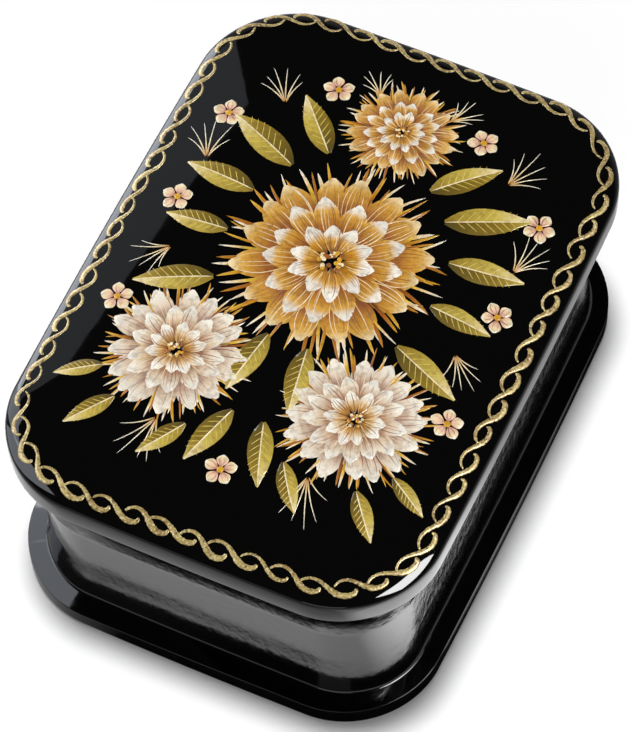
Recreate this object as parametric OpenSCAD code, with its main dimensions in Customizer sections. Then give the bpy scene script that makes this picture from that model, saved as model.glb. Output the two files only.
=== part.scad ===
/* [Lid] */
// Overall length of the lid, along Y
lid_len = 90; // [70:1:120]
// Overall width of the lid, along X
lid_wid = 66; // [54:1:90]
// Radius of the lid's corners in plan
corner_r = 14.5; // [12:0.5:18]
// How far each long side bows outwards at its middle
bow_long = 0.7; // [0:0.1:1.5]
// How far each short side bows outwards at its middle
bow_short = 0.5; // [0:0.1:1.5]
// Height of the lid's upright rim
rim_h = 3.8; // [3.4:0.1:6]
// Width of the rolled band between the rim and the domed top
roll_w = 2; // [1:0.1:3]
// Rise of the rolled band
roll_h = 0.7; // [0.3:0.1:1.2]
// Rise of the domed top inside the rolled band
dome_h = 2; // [1:0.1:4]
// How far the lid overhangs the wall all round
overhang = 3.8; // [3.5:0.1:4.5]

/* [Box] */
// Height of the wall's top edge above the table
wall_top = 32.6; // [24:0.1:45]
// Thickness of the wall
wall_t = 2.6; // [2.4:0.1:3.4]
// How far the wall swells outwards into a collar under the lid
collar_out = 1.3; // [0:0.1:1.5]
// Height of the swelling below the collar
swell_h = 8.5; // [4:0.5:12]
// Height of the collar's upright face
collar_h = 2.6; // [2:0.1:5]
// Thickness of the liner strip inside the wall
liner_t = 1.2; // [0.8:0.1:2]
// How far the liner stands above the wall's top edge
lip_h = 1.9; // [1:0.1:2.2]
// Thickness of the floor board
floor_t = 1.5; // [1:0.1:3]
// Width of the dark seam between wall and lid
seam_gap = 0.2; // [0.1:0.05:0.4]

/* [Base board] */
// Thickness of the base board
base_t = 4.2; // [3.6:0.1:6]
// How far the base board reaches beyond the wall
base_out = 3.4; // [2.5:0.1:4.5]
// Radius of its rounded upper edge
base_round = 2.2; // [1:0.1:2.4]
// Radius of its rounded lower edge
base_under = 1; // [0.4:0.1:1.2]

/* [Hinge] */
// Length of the hinge along X
hinge_len = 30; // [22:1:34]
// Outer radius of the knuckles
knuckle_r = 1.2; // [1:0.05:1.3]
// Radius of the hinge pin
pin_r = 0.5; // [0.4:0.05:0.6]
// Running clearance between the pin and the lid's knuckle
pin_play = 0.04; // [0.02:0.01:0.1]
// Thickness of the hinge leaves
leaf_t = 0.4; // [0.3:0.05:0.5]
// How far the hinge axis lies behind the wall
axis_out = 0.3; // [0.25:0.05:0.5]

/* [Gold border] */
// Number of scrolls in the running border
scroll_count = 60; // [40:1:80]
// How far each scroll swings to either side of the band's middle
scroll_swing = 1.1; // [0.7:0.05:1.3]
// Widest stroke of a scroll
scroll_stroke = 0.8; // [0.5:0.05:1]
// Distance from the lid's edge to the middle of the band
scroll_inset = 2.3; // [2.2:0.05:4]

/* [Painting] */
// Thickness of the painted relief above the lacquer
paint_t = 0.12; // [0.05:0.01:0.3]
// Radius of the large blossom
blossom_r = 13; // [9:0.5:14]

/* [Hidden] */
$fn = 48;

black = "#16140f";
red = "#8e1c14";
brass = "#b08d45";
gold = "#cdb676";

// Steps in each corner arc and in each side of every outline
arc_steps = 12;
side_steps = 6;

// Half sizes of the lid before its sides bow
half_x = lid_wid / 2 - bow_long;
half_y = lid_len / 2 - bow_short;

// Insets from the lid's outline to the faces below it
wall_in = overhang + wall_t;
liner_in = wall_in + liner_t;
lip_play = 0.25;
frame_in = wall_in - lip_play;

// Heights above the table
lid_base = wall_top + seam_gap;
frame_h = 2.2;
panel_base = lid_base + frame_h;
arris_z = lid_base + rim_h;
roll_top = arris_z + roll_h;
floor_top = base_t + floor_t;
panel_t = 2.8;
dome_power = 3;

// The rolled band rises by this slope at the arris, and bends so that it reaches its full height
roll_slope = 0.55;
roll_bend = (roll_slope * roll_w - roll_h) / pow(roll_w, 2);

// Hinge places
wall_back = lid_len / 2 - overhang + collar_out;
axis_y = wall_back + axis_out;
axis_z = wall_top + seam_gap / 2;
groove_play = 0.2;
lid_knuckle = hinge_len / 3;
knuckle_gap = 0.2;
leaf_w = 2;
leaf_front = wall_back - leaf_w;
nail_y = leaf_front + 0.5;
nail_places = [-12.5, -8, 8, 12.5];
nail_head_r = 0.4;
nail_head_t = 0.2;
nail_r = 0.25;
box_nail = 3;
lid_nail = 1.6;

// The border's band lies a little towards the left and the far end, as it was painted by hand
band_shift = [-0.25, 0.6];
sink = 0.15;
// A scroll's wave starts just before its outermost point and ends on the way back out
scroll_start = -43;
scroll_turn = 292;
scroll_reach = 1.57;
scroll_steps = 9;

// A rounded rectangle with bowed sides, d inside the lid's outline
function bowed(p) = [
  p[0] * (1 + bow_long / half_x * max(0, 1 - pow(p[1] / half_y, 2))),
  p[1] * (1 + bow_short / half_y * max(0, 1 - pow(p[0] / half_x, 2)))
];
function corner(cx, cy, r, from) =
  [for (i = [0 : arc_steps]) [cx + r * cos(from + 90 * i / arc_steps), cy + r * sin(from + 90 * i / arc_steps)]];
function between(p, q) = [for (i = [1 : side_steps - 1]) p + (q - p) * i / side_steps];
function plain_outline(d) =
  let (r = corner_r - d, cx = half_x - corner_r, cy = half_y - corner_r,
       c = [corner(cx, cy, r, 0), corner(-cx, cy, r, 90), corner(-cx, -cy, r, 180), corner(cx, -cy, r, 270)])
  [for (k = [0 : 3]) each concat(c[k], between(c[k][arc_steps], c[(k + 1) % 4][0]))];
function outline(d) = [for (p = plain_outline(d)) bowed(p)];
function level(ring, z) = [for (p = ring) [p[0], p[1], z]];

// How many times a point must be moved out from the centre to reach the inner edge of the rolled band
function reach(p) =
  let (a = half_x - roll_w, b = half_y - roll_w, r = corner_r - roll_w,
       x = abs(p[0]), y = abs(p[1]), c = [a - r, b - r], q = [x, y], pc = q * c, pp = q * q)
  pp < 0.001 ? 1000
  : y * a <= x * (b - r) ? a / x
  : x * b <= y * (a - r) ? b / y
  : (pc + sqrt(pc * pc - pp * (c * c - r * r))) / pp;
function dome_z(p) = roll_top + dome_h * (1 - pow(1 / reach(p), dome_power));

// Slopes of the dome, from heights a little to either side
probe = 0.2;
function slope_x(p) = (dome_z(p + [probe, 0]) - dome_z(p - [probe, 0])) / (2 * probe);
function slope_y(p) = (dome_z(p + [0, probe]) - dome_z(p - [0, probe])) / (2 * probe);

// A closed shell through rings of equal length, with flat ends
module shell(rings) {
  n = len(rings[0]);
  m = len(rings);
  polyhedron(
    points = [for (r = rings) each r],
    faces = [
      [for (i = [0 : n - 1]) i],
      for (k = [0 : m - 2]) for (i = [0 : n - 1])
        [k * n + i, (k + 1) * n + i, (k + 1) * n + (i + 1) % n, k * n + (i + 1) % n],
      [for (i = [n - 1 : -1 : 0]) (m - 1) * n + i]
    ]
  );
}

// A prism between two heights, d inside the lid's outline
module slab(d, z0, z1) {
  translate([0, 0, z0]) linear_extrude(z1 - z0) polygon(outline(d));
}

// An upright ring between two insets and two heights
module band(d0, d1, z0, z1) {
  translate([0, 0, z0]) linear_extrude(z1 - z0) difference() {
    polygon(outline(d0));
    polygon(outline(d1));
  }
}

module along_x(length, r) {
  translate([-length / 2, axis_y, axis_z]) rotate([0, 90, 0]) cylinder(h = length, r = r);
}

module hinge_groove() {
  along_x(hinge_len + 2 * groove_play, knuckle_r + groove_play);
}

// A flush nail that points down from the wall's top edge, or up into the lid
module nail(x, length) {
  translate([x, nail_y, -nail_head_t]) cylinder(h = nail_head_t, r = nail_head_r);
  translate([x, nail_y, -nail_head_t - length]) cylinder(h = length, r = nail_r);
}
module box_nails() {
  for (x = nail_places) translate([0, 0, wall_top]) nail(x, box_nail);
}
module lid_nails() {
  for (x = nail_places) translate([0, 0, lid_base]) mirror([0, 0, 1]) nail(x, lid_nail);
}

module leaf_plate(z) {
  translate([-hinge_len / 2, leaf_front, z]) cube([hinge_len, axis_y - leaf_front, leaf_t]);
}
module box_leaf_plate() { leaf_plate(wall_top - leaf_t); }
module lid_leaf_plate() { leaf_plate(lid_base); }

module base_board() {
  lower = [for (i = [0 : 2]) [base_under * (1 - sin(45 * i)), base_under * (1 - cos(45 * i))]];
  upper = [for (i = [0 : 4]) [base_round * (1 - cos(22.5 * i)), base_t - base_round * (1 - sin(22.5 * i))]];
  edge = overhang - base_out;
  color(black) shell([for (s = concat(lower, upper)) level(outline(edge + s[0]), s[1])]);
}

// Share of the swelling reached at a share u of its height: hollow below the bend and round above it
swell_bend = 0.7;
function swell(u) = u < swell_bend ? u * u / swell_bend : 1 - (1 - u) * (1 - u) / (1 - swell_bend);

module wall() {
  collar_z = wall_top - collar_h;
  swelling = [for (u = [0, 0.25, 0.5, 0.7, 0.85, 1])
    level(outline(overhang - collar_out * swell(u)), collar_z - swell_h * (1 - u))];
  color(black) difference() {
    shell(concat([level(outline(overhang), base_t)], swelling, [level(outline(overhang - collar_out), wall_top)]));
    slab(wall_in, base_t - 1, wall_top + 1);
    hinge_groove();
    box_leaf_plate();
    box_nails();
  }
}

module liner() {
  color(red) band(wall_in, liner_in, floor_top, wall_top + lip_h);
}

module floor_board() {
  color(red) slab(wall_in, base_t, floor_top);
}

module hinge_leaf_box() {
  side = (hinge_len - lid_knuckle - knuckle_gap) / 2;
  color(brass) difference() {
    union() {
      difference() {
        box_leaf_plate();
        along_x(lid_knuckle + knuckle_gap, knuckle_r + groove_play);
      }
      for (s = [-1, 1]) translate([s * (hinge_len - side) / 2, 0, 0]) along_x(side, knuckle_r);
    }
    along_x(hinge_len + 1, pin_r);
    box_nails();
  }
}

module hinge_pin() {
  color(brass) along_x(hinge_len, pin_r);
}

module hinge_nails_box() {
  color(brass) box_nails();
}

module lid_frame() {
  color(black) difference() {
    band(0, frame_in, lid_base, panel_base);
    hinge_groove();
    lid_leaf_plate();
    lid_nails();
  }
}

// The domed board over the frame, with a hollow underside
module lid_panel() {
  outer = outline(0);
  roll_in = outline(roll_w);
  hollow = outline(frame_in);
  hollow_h = roll_top + dome_h - panel_t - panel_base;
  under = [for (f = [0.1, 0.3, 0.5, 0.7, 0.85]) level(hollow * f, panel_base + hollow_h * (1 - pow(f, dome_power)))];
  roll = [for (d = [0, 0.25, 0.5, 0.75] * roll_w) level(outline(d), arris_z + roll_slope * d - roll_bend * d * d)];
  dome = [for (f = [1, 0.93, 0.85, 0.76, 0.66, 0.54, 0.4, 0.25, 0.1])
    level(roll_in * f, roll_top + dome_h * (1 - pow(f, dome_power)))];
  color(black) shell(concat(under, [level(hollow, panel_base), level(outer, panel_base)], roll, dome));
}

module hinge_leaf_lid() {
  side = (hinge_len - lid_knuckle) / 2 + knuckle_gap / 2 + 1;
  color(brass) difference() {
    union() {
      difference() {
        lid_leaf_plate();
        for (s = [-1, 1]) translate([s * (lid_knuckle - knuckle_gap + side) / 2, 0, 0])
          along_x(side, knuckle_r + groove_play);
      }
      along_x(lid_knuckle - knuckle_gap, knuckle_r);
    }
    along_x(hinge_len + 1, pin_r + pin_play);
    lid_nails();
  }
}

module hinge_nails_lid() {
  color(brass) lid_nails();
}

// Lays a flat shape on the dome, tilted with it and sunk a little into it
module on_dome(p) {
  gx = slope_x(p);
  gy = slope_y(p);
  translate([p[0], p[1], dome_z(p)]) rotate([asin(gy / norm([gx, gy, 1])), atan(-gx), 0])
    translate([0, 0, -sink]) linear_extrude(sink + paint_t) children();
}

// The border's centre line, as a point and a heading at a distance s along it
band_x = half_x - scroll_inset;
band_y = half_y - scroll_inset;
band_r = corner_r - scroll_inset;
run_x = 2 * (band_x - band_r);
run_y = 2 * (band_y - band_r);
arc_len = band_r * PI / 2;
loop_len = 2 * (run_x + run_y) + 4 * arc_len;
function on_arc(cx, cy, from, s) =
  let (t = from + s / band_r * 180 / PI) [cx + band_r * cos(t), cy + band_r * sin(t), t + 90];
function on_band(s) =
  let (q = s % loop_len, h = (run_x + run_y) + 2 * arc_len, k = q < h ? 1 : -1, w = q < h ? q : q - h,
       p = w < run_y ? [band_x, w - run_y / 2, 90]
         : w < run_y + arc_len ? on_arc(run_x / 2, run_y / 2, 0, w - run_y)
         : w < run_y + arc_len + run_x ? [run_x / 2 - (w - run_y - arc_len), band_y, 180]
         : on_arc(-run_x / 2, run_y / 2, 90, w - run_y - arc_len - run_x))
  [k * p[0] + band_shift[0], k * p[1] + band_shift[1], p[2] + (k < 0 ? 180 : 0)];
function off_band(s, v) = let (p = on_band(s)) [p[0] + v * sin(p[2]), p[1] - v * cos(p[2])];

// One scroll: a fat end outside, a diagonal, and a thin arc inside that all but meets its neighbour
pitch = loop_len / scroll_count;
function scroll_line(t) = [pitch * scroll_reach * t, scroll_swing * cos(scroll_start + scroll_turn * t)];
function scroll_width(t) = scroll_stroke * (1 - 0.5 * t) * min(1, 0.6 + 4 * t);
function scroll_edge(s, side) =
  [for (i = [0 : scroll_steps])
    let (t = i / scroll_steps, p = scroll_line(t), q = scroll_line(t + 0.01) - p, n = [-q[1], q[0]] / norm(q),
         e = p + side * scroll_width(t) / 2 * n)
    off_band(s - e[0], e[1])];
module gold_border() {
  color(gold) for (k = [1 : scroll_count]) {
    s = loop_len + k * pitch;
    centre = off_band(s - pitch * scroll_reach / 2, 0);
    points = concat(scroll_edge(s, 1), [for (i = [scroll_steps : -1 : 0]) scroll_edge(s, -1)[i]]);
    on_dome(centre) polygon([for (p = points) p - centre]);
  }
}

// A petal or leaf that is widest past its middle
petal_steps = 7;
function petal_half(t, wide, lean) = wide / 2 * pow(sin(180 * pow(t, lean)), 0.8);
module petal(length, wide, lean) {
  polygon(concat(
    [for (i = [0 : petal_steps]) [length * i / petal_steps, -petal_half(i / petal_steps, wide, lean)]],
    [for (i = [petal_steps - 1 : -1 : 1]) [length * i / petal_steps, petal_half(i / petal_steps, wide, lean)]]
  ));
}

// A ring of petals between two radii of a blossom
module petal_ring(at, r0, r1, count, wide, turn) {
  for (i = [0 : count - 1]) {
    a = turn + 360 * i / count;
    mid = at + (r0 + r1) / 2 * [cos(a), sin(a)];
    on_dome(mid) rotate([0, 0, a]) translate([-(r1 - r0) / 2, 0, 0]) petal(r1 - r0, wide, 1.3);
  }
}

large_at = [0, 5];
small_r = blossom_r * 0.66;
small_at = [[-13.5, -16.5], [13.5, -16.5], [0, 29]];
small_scale = [1, 1, 0.8];
module blossom(at, r) {
  petal_ring(at, r * 0.6, r, 14, r * 0.34, 0);
  petal_ring(at, r * 0.22, r * 0.58, 10, r * 0.22, 18);
  on_dome(at) circle(r = r * 0.17);
}
module painted_blossoms() {
  color("#c98726") {
    blossom(large_at, blossom_r);
    for (i = [0 : 2]) blossom(small_at[i], small_r * small_scale[i]);
  }
}

// Leaves fan out of the gaps between the blossoms, in mirrored pairs: root, heading, length
leaf_fans = [
  [[9.5, 20.5], 40, 11], [[15.5, 11], 12, 9.5], [[15.2, 0], -12, 9.5],
  [[2.6, -10.5], -85, 9], [[3, -23.5], -75, 9.5], [[21.5, -24.5], -35, 6.5]
];
module painted_leaves() {
  color("#8f8d2c") for (fan = leaf_fans) for (side = [0, 1]) mirror([side, 0, 0]) {
    root = fan[0];
    mid = root + fan[2] / 2 * [cos(fan[1]), sin(fan[1])];
    on_dome(mid) rotate([0, 0, fan[1]]) translate([-fan[2] / 2, 0, 0]) petal(fan[2], fan[2] * 0.32, 0.8);
  }
}

// Small five-petalled buds: one at the near end, and mirrored pairs
near_bud = [0, -31.5];
bud_pairs = [[11.5, 32], [22.5, 22], [20.5, 5.3], [25, -11]];
bud_r = 2.4;
module bud(at) { petal_ring(at, 0.5, bud_r, 5, 1.5, 90); }
module painted_buds() {
  color("#e9cfc0") {
    bud(near_bud);
    for (at = bud_pairs) for (side = [0, 1]) mirror([side, 0, 0]) bud(at);
  }
}

base_board();
wall();
liner();
floor_board();
hinge_leaf_box();
hinge_pin();
hinge_nails_box();
lid_frame();
lid_panel();
hinge_leaf_lid();
hinge_nails_lid();
gold_border();
painted_blossoms();
painted_leaves();
painted_buds();
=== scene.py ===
# %% [markdown]
# A small lacquered keepsake box, dressed around its packed construction.
# The real box is papier-mache under many coats of black lacquer. Its lid is painted by hand, with a
# running gold scroll along its edge, and then varnished again. The bouquet on it is a generic one.
# Lacquer is almost a mirror, so most of the work is in the curve of each edge, in faint waves of the
# surface, and in what stands around the box.

# %% Load the construction
import math

import bpy
import bmesh
import numpy as np
from mathutils import Matrix, Vector


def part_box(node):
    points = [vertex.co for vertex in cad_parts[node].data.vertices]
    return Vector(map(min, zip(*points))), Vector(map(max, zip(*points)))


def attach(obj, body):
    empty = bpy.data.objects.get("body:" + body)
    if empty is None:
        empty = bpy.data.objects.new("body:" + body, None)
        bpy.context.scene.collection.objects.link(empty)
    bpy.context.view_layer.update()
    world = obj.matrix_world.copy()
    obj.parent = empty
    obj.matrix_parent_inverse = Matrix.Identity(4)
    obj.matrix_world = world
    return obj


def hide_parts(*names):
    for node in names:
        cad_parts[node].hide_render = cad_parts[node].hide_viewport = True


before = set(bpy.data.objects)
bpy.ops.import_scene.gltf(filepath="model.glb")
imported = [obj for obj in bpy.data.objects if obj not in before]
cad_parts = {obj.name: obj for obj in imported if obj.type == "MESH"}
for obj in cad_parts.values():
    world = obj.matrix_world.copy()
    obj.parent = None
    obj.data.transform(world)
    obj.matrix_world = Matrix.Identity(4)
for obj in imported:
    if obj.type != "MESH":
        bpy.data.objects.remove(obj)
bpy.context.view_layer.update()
mm = 0.001

# %% [markdown]
# Every size comes from the construction: the box around each of its pieces gives the insets and the
# heights. The corner radius, the faint bow of the sides, the thicknesses and the roll of the lid's edge
# can't be read from a box, so they are given again here, as the maker would give them.

# %% Sizes read from the construction
lid_low, lid_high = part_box("lid_frame")
panel_low, panel_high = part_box("lid_panel")
wall_low, wall_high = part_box("wall")
liner_low, liner_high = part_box("liner")
board_low, board_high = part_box("base_board")
leaf_low, leaf_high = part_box("hinge_leaf_lid")
pin_low, pin_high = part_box("hinge_pin")

corner_r = 14.5 * mm
bow_long = 0.7 * mm
bow_short = 0.5 * mm
half_x = lid_high.x - bow_long
half_y = lid_high.y - bow_short
wall_t = 2.5 * mm
liner_t = 1.2 * mm
lid_play = 0.25 * mm
rim_h = 3.8 * mm
wall_in = lid_high.y - liner_high.y
overhang = wall_in - wall_t
collar_in = lid_high.y - wall_high.y
liner_in = wall_in + liner_t
frame_in = wall_in - lid_play
board_in = lid_high.y - board_high.y
arris_z = lid_low.z + rim_h
roll_w = 2.0 * mm
roll_h = 0.7 * mm
roll_slope = 0.55
roll_bend = (roll_slope * roll_w - roll_h) / roll_w ** 2
roll_z = arris_z + roll_h
dome_h = panel_high.z - roll_z
hollow_h = 1.5 * mm
print("overhang %.2f, wall %.2f, dome rises %.2f mm"
      % (overhang / mm, wall_t / mm, dome_h / mm))

# %% [markdown]
# The camera stands above the near right corner and looks down at the lid through a long lens. Its
# place was fitted to the edges of the box. A little roll is left in, as in a picture taken by hand.

# %% Camera
azimuth, elevation, roll = (math.radians(v) for v in (27.2635, 58.5952, -2.7651))
distance = 577.67 * mm
aim = Vector((0, 0, arris_z))
past_aim_right, past_aim_up = 0.000085, 0.01659

back = Vector((math.sin(azimuth) * math.cos(elevation),
               -math.cos(azimuth) * math.cos(elevation), math.sin(elevation)))
right = Vector((math.cos(azimuth), math.sin(azimuth), 0))
up = back.cross(right)
rolled_right = right * math.cos(roll) + up * math.sin(roll)
rolled_up = up * math.cos(roll) - right * math.sin(roll)
tilted_back = (back + rolled_up * past_aim_up + rolled_right * past_aim_right).normalized()
side = rolled_up.cross(tilted_back).normalized()

camera = bpy.data.objects.new("camera", bpy.data.cameras.new("camera"))
camera.data.sensor_fit = "AUTO"
camera.data.sensor_width = 36
camera.data.lens = 200.78
turn = Matrix((side, tilted_back.cross(side), tilted_back)).transposed()
camera.matrix_world = Matrix.Translation(aim + back * distance) @ turn.to_4x4()
bpy.context.scene.collection.objects.link(camera)
bpy.context.scene.camera = camera
bpy.context.scene.view_settings.view_transform = "Standard"
print("camera at", [round(v / mm) for v in camera.matrix_world.translation], "mm")

# %% [markdown]
# Shaders are node trees. To keep them readable, a small class wraps a socket, so that a sum or a
# product of two values is written as Python and adds its Math node by itself. Every other node comes
# from one method that takes the node's type, its settings and what goes into its sockets.


# %% A socket that can be added and multiplied
class Wire:
    """One output socket of a finish; arithmetic on it adds Math nodes."""

    def __init__(self, finish, socket):
        self.finish = finish
        self.socket = socket

    def math(self, operation, first, second):
        return self.finish.node("Math", {"operation": operation}, {0: first, 1: second})

    def __add__(self, other):
        return self.math("ADD", self, other)

    def __sub__(self, other):
        return self.math("SUBTRACT", self, other)

    def __rsub__(self, other):
        return self.math("SUBTRACT", other, self)

    def __mul__(self, other):
        return self.math("MULTIPLY", self, other)

    __radd__ = __add__
    __rmul__ = __mul__

    def between(self, low, high, to_low=0.0, to_high=1.0):
        """Maps the span from low to high onto another span, and stops at its ends."""
        return self.finish.node("MapRange", {}, {0: self, 1: low, 2: high, 3: to_low, 4: to_high})


# %% A material that grows node by node
class Finish:
    """A node tree for a material, or for the world, that ends in one surface."""

    def __init__(self, owner):
        owner.use_nodes = True
        self.owner = owner
        self.tree = owner.node_tree
        self.tree.nodes.clear()

    def node(self, kind, settings=None, sockets=None, out=0):
        made = self.tree.nodes.new("ShaderNode" + kind)
        for key, value in (settings or {}).items():
            setattr(made, key, value)
        for key, value in (sockets or {}).items():
            if isinstance(value, Wire):
                self.tree.links.new(value.socket, made.inputs[key])
            else:
                made.inputs[key].default_value = value
        return Wire(self, made.outputs[out]) if made.outputs else made

    def noise(self, scale, detail=3.0, stretch=(1, 1, 1)):
        """Soft noise from 0 to 1, in blobs of about 1/scale metres, stretched along the axes."""
        spot = self.node("TexCoord", out="Object")
        place = self.node("Mapping", {}, {"Vector": spot, "Scale": stretch})
        return self.node("TexNoise", {}, {"Vector": place, "Scale": scale, "Detail": detail})

    def mixed(self, factor, first, second):
        """A colour between two colours."""
        return self.node("Mix", {"data_type": "RGBA"}, {0: factor, 6: first, 7: second}, out=2)

    def bumped(self, height, depth):
        """A normal bent by a height from 0 to 1 that is worth a depth in metres."""
        return self.node("Bump", {}, {"Height": height, "Distance": depth, "Strength": 1.0})

    def surface(self, sockets):
        shader = self.node("BsdfPrincipled", {}, sockets)
        self.node("OutputMaterial", {}, {"Surface": shader})
        return self.owner


def new_finish(name):
    return Finish(bpy.data.materials.new(name))


# %% [markdown]
# Black lacquer is nearly black and nearly a mirror. What tells it from plastic is that the surface was
# rubbed down by hand: long faint waves bend the reflections, and fine dust dulls it in patches.
# Upright faces were brushed and never rubbed as flat as the lid, so they are duller and more wavy.

# %% Black lacquer
LACQUER_BLACK = (0.0018, 0.0017, 0.0016, 1)


def black_lacquer(name, ior, wave_scale, wave_mm, grain_scale, grain_mm, top_rough, side_rough):
    """Long waves and fine grain, each with its scale and its depth in mm, and a roughness for what
    faces up and for what stands upright. The long sides were brushed along their length, so they
    have more grain and are rougher."""
    finish = new_finish(name)
    normal = finish.node("NewGeometry", out="Normal")
    long_side = finish.node("SeparateXYZ", {}, {0: normal}, out="X")
    brushed = finish.node("Math", {"operation": "ABSOLUTE"}, {0: long_side}).between(0.8, 1.0)
    waves = finish.noise(wave_scale, 2.0) * wave_mm
    grain = finish.noise(grain_scale, 4.0, (1, 1, 0.6)) * (brushed * 0.8 + 0.7) * grain_mm
    dust = finish.noise(900, 4.0).between(0.35, 0.75, 0.8, 1.7)
    lie = finish.node("SeparateXYZ", {}, {0: normal}, out="Z").between(0.3, 0.8)
    side = (brushed * 0.5 + 1) * side_rough
    return finish.surface({
        "Base Color": LACQUER_BLACK,
        "Roughness": dust * (lie * top_rough + (1 - lie) * side),
        "IOR": ior,
        "Normal": finish.bumped(waves + grain, mm),
    })


lid_black = black_lacquer(
    "lid_black_lacquer", ior=1.43, wave_scale=90, wave_mm=0.02,
    grain_scale=1500, grain_mm=0.0004, top_rough=0.03, side_rough=0.06)
wall_black = black_lacquer(
    "wall_black_lacquer", ior=1.58, wave_scale=260, wave_mm=0.022,
    grain_scale=1100, grain_mm=0.026, top_rough=0.08, side_rough=0.08)
board_black = black_lacquer(
    "board_black_lacquer", ior=1.42, wave_scale=150, wave_mm=0.03,
    grain_scale=1300, grain_mm=0.002, top_rough=0.05, side_rough=0.05)
print("lacquers:", [m.name for m in (lid_black, wall_black, board_black)])

# %% [markdown]
# Inside, such boxes are always red. The red was brushed over black in two thin coats, so it stays
# a little cloudy. The hinge is drawn brass, which tarnishes brown where fingers don't rub it.

# %% Red lacquer and brass
RED_THIN = (0.24, 0.011, 0.006, 1)
RED_FULL = (0.37, 0.021, 0.010, 1)
BRASS_RUBBED = (0.66, 0.46, 0.17, 1)
BRASS_BROWN = (0.33, 0.20, 0.07, 1)


def red_lacquer():
    finish = new_finish("red_lacquer")
    clouds = finish.noise(120, 4.0).between(0.3, 0.7)
    return finish.surface({
        "Base Color": finish.mixed(clouds, RED_THIN, RED_FULL),
        "Roughness": clouds * 0.1 + 0.09,
        "IOR": 1.52,
        "Normal": finish.bumped(finish.noise(220, 2.0), 0.05 * mm),
    })


def drawn_brass():
    finish = new_finish("hinge_brass")
    drawn = finish.noise(1500, 3.0, (0.08, 1, 1))
    tarnish = finish.noise(700, 4.0).between(0.4, 0.7)
    return finish.surface({
        "Base Color": finish.mixed(tarnish, BRASS_RUBBED, BRASS_BROWN),
        "Metallic": 1.0,
        "Roughness": drawn.between(0.3, 0.7, 0.25, 0.45),
        "Normal": finish.bumped(drawn, 0.01 * mm),
    })


red = red_lacquer()
brass = drawn_brass()
print("inside:", red.name, "and", brass.name)

# %% [markdown]
# The scroll is bronze powder in varnish: bright, uneven, with darker spots where the powder is thin,
# and with pale flecks painted into its colour as glints.
# The bouquet is tempera. Each stroke carries its own colours as an attribute of its points, so one
# finish serves all strokes, and a clear varnish over both makes them glossy like the lacquer.

# %% Gold and tempera
GOLD_FULL = (0.44, 0.33, 0.105, 1)
GOLD_THIN = (0.27, 0.165, 0.045, 1)
GOLD_PAINTED_GLINT = (0.66, 0.55, 0.29, 1)
GOLD_GAP = (0.075, 0.045, 0.018, 1)
TEMPERA_SHADE = (0.12, 0.045, 0.003, 1)


def gold_paint():
    finish = new_finish("gold_paint")
    grain = finish.noise(3000, 3.0)
    thin = finish.noise(330, 3.0).between(0.42, 0.66)
    colour = finish.mixed(thin, GOLD_FULL, GOLD_THIN)
    # Pale flecks in the fine grain are painted glints, over the powder's own uneven tone.
    bright = finish.mixed(grain.between(0.5, 0.66), colour, GOLD_PAINTED_GLINT)
    gaps = finish.noise(2300, 3.0).between(0.54, 0.66)
    speckled = finish.mixed(gaps * 0.8, bright, GOLD_GAP)
    return finish.surface({
        "Base Color": speckled,
        "Metallic": 0.25,
        "Roughness": grain.between(0.3, 0.7, 0.28, 0.45),
        "Coat Weight": 0.5,
        "Coat Roughness": 0.08,
        "Normal": finish.bumped(grain, 0.012 * mm),
    })


def tempera(name):
    finish = new_finish(name)
    painted = finish.node("Attribute", {"attribute_name": "paint"}, out="Color")
    body = finish.noise(1300, 4.0).between(0.45, 0.75, 0.0, 0.45)
    return finish.surface({
        "Base Color": finish.mixed(body, painted, TEMPERA_SHADE),
        "Specular IOR Level": 0.2,
        "Roughness": 0.4,
        "Coat Weight": 1.0,
        "Coat Roughness": 0.06,
        "Normal": finish.bumped(finish.noise(1700, 3.0), 0.008 * mm),
    })


gold = gold_paint()
blossom_tempera = tempera("blossom_tempera")
leaf_tempera = tempera("leaf_tempera")
bud_tempera = tempera("bud_tempera")
print("paints:", gold.name, blossom_tempera.name, leaf_tempera.name, bud_tempera.name)

# %% [markdown]
# All shells share one outline in plan: a rectangle with round corners whose sides bow a little.
# It is a function of the inset, so that rim, wall, liner and base board stay parallel. A shell is then
# a row of such outlines at chosen heights, joined by faces. Rounding each corner of the profile
# matters more than anything else here, because a lacquered edge shows as a bright line.

# %% The outline in plan
ARC_STEPS = 26
SIDE_STEPS = 18


def plain_outline(inset):
    """The outline before its sides bow: four corner arcs with straight runs between them."""
    radius = corner_r - inset
    arcs = []
    for k, (sx, sy) in enumerate([(1, 1), (-1, 1), (-1, -1), (1, -1)]):
        turns = np.radians(90 * k + 90 * np.arange(ARC_STEPS + 1) / ARC_STEPS)
        centre = (sx * (half_x - corner_r), sy * (half_y - corner_r))
        arcs.append(np.column_stack([np.cos(turns), np.sin(turns)]) * radius + centre)
    points = []
    for k, arc in enumerate(arcs):
        run = np.arange(1, SIDE_STEPS)[:, None] / SIDE_STEPS
        points += [arc, arc[-1] + (arcs[(k + 1) % 4][0] - arc[-1]) * run]
    return np.concatenate(points)


def bow(x, y):
    """How much wider and longer the bow makes the box at x, y."""
    wider = 1 + bow_long / half_x * np.clip(1 - (y / half_y) ** 2, 0, 1)
    longer = 1 + bow_short / half_y * np.clip(1 - (x / half_x) ** 2, 0, 1)
    return np.column_stack([wider, longer])


def bowed(points):
    return points * bow(points[:, 0], points[:, 1])


def ring(inset, z, share=1.0):
    """The outline at an inset and a height, shrunk to a share of its size."""
    flat = bowed(plain_outline(inset)) * share
    return np.column_stack([flat, np.full(len(flat), z)])


print("an outline has", len(ring(0, 0)), "points")

# %% Profiles with rounded corners
ROUND_STEPS = 5


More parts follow.
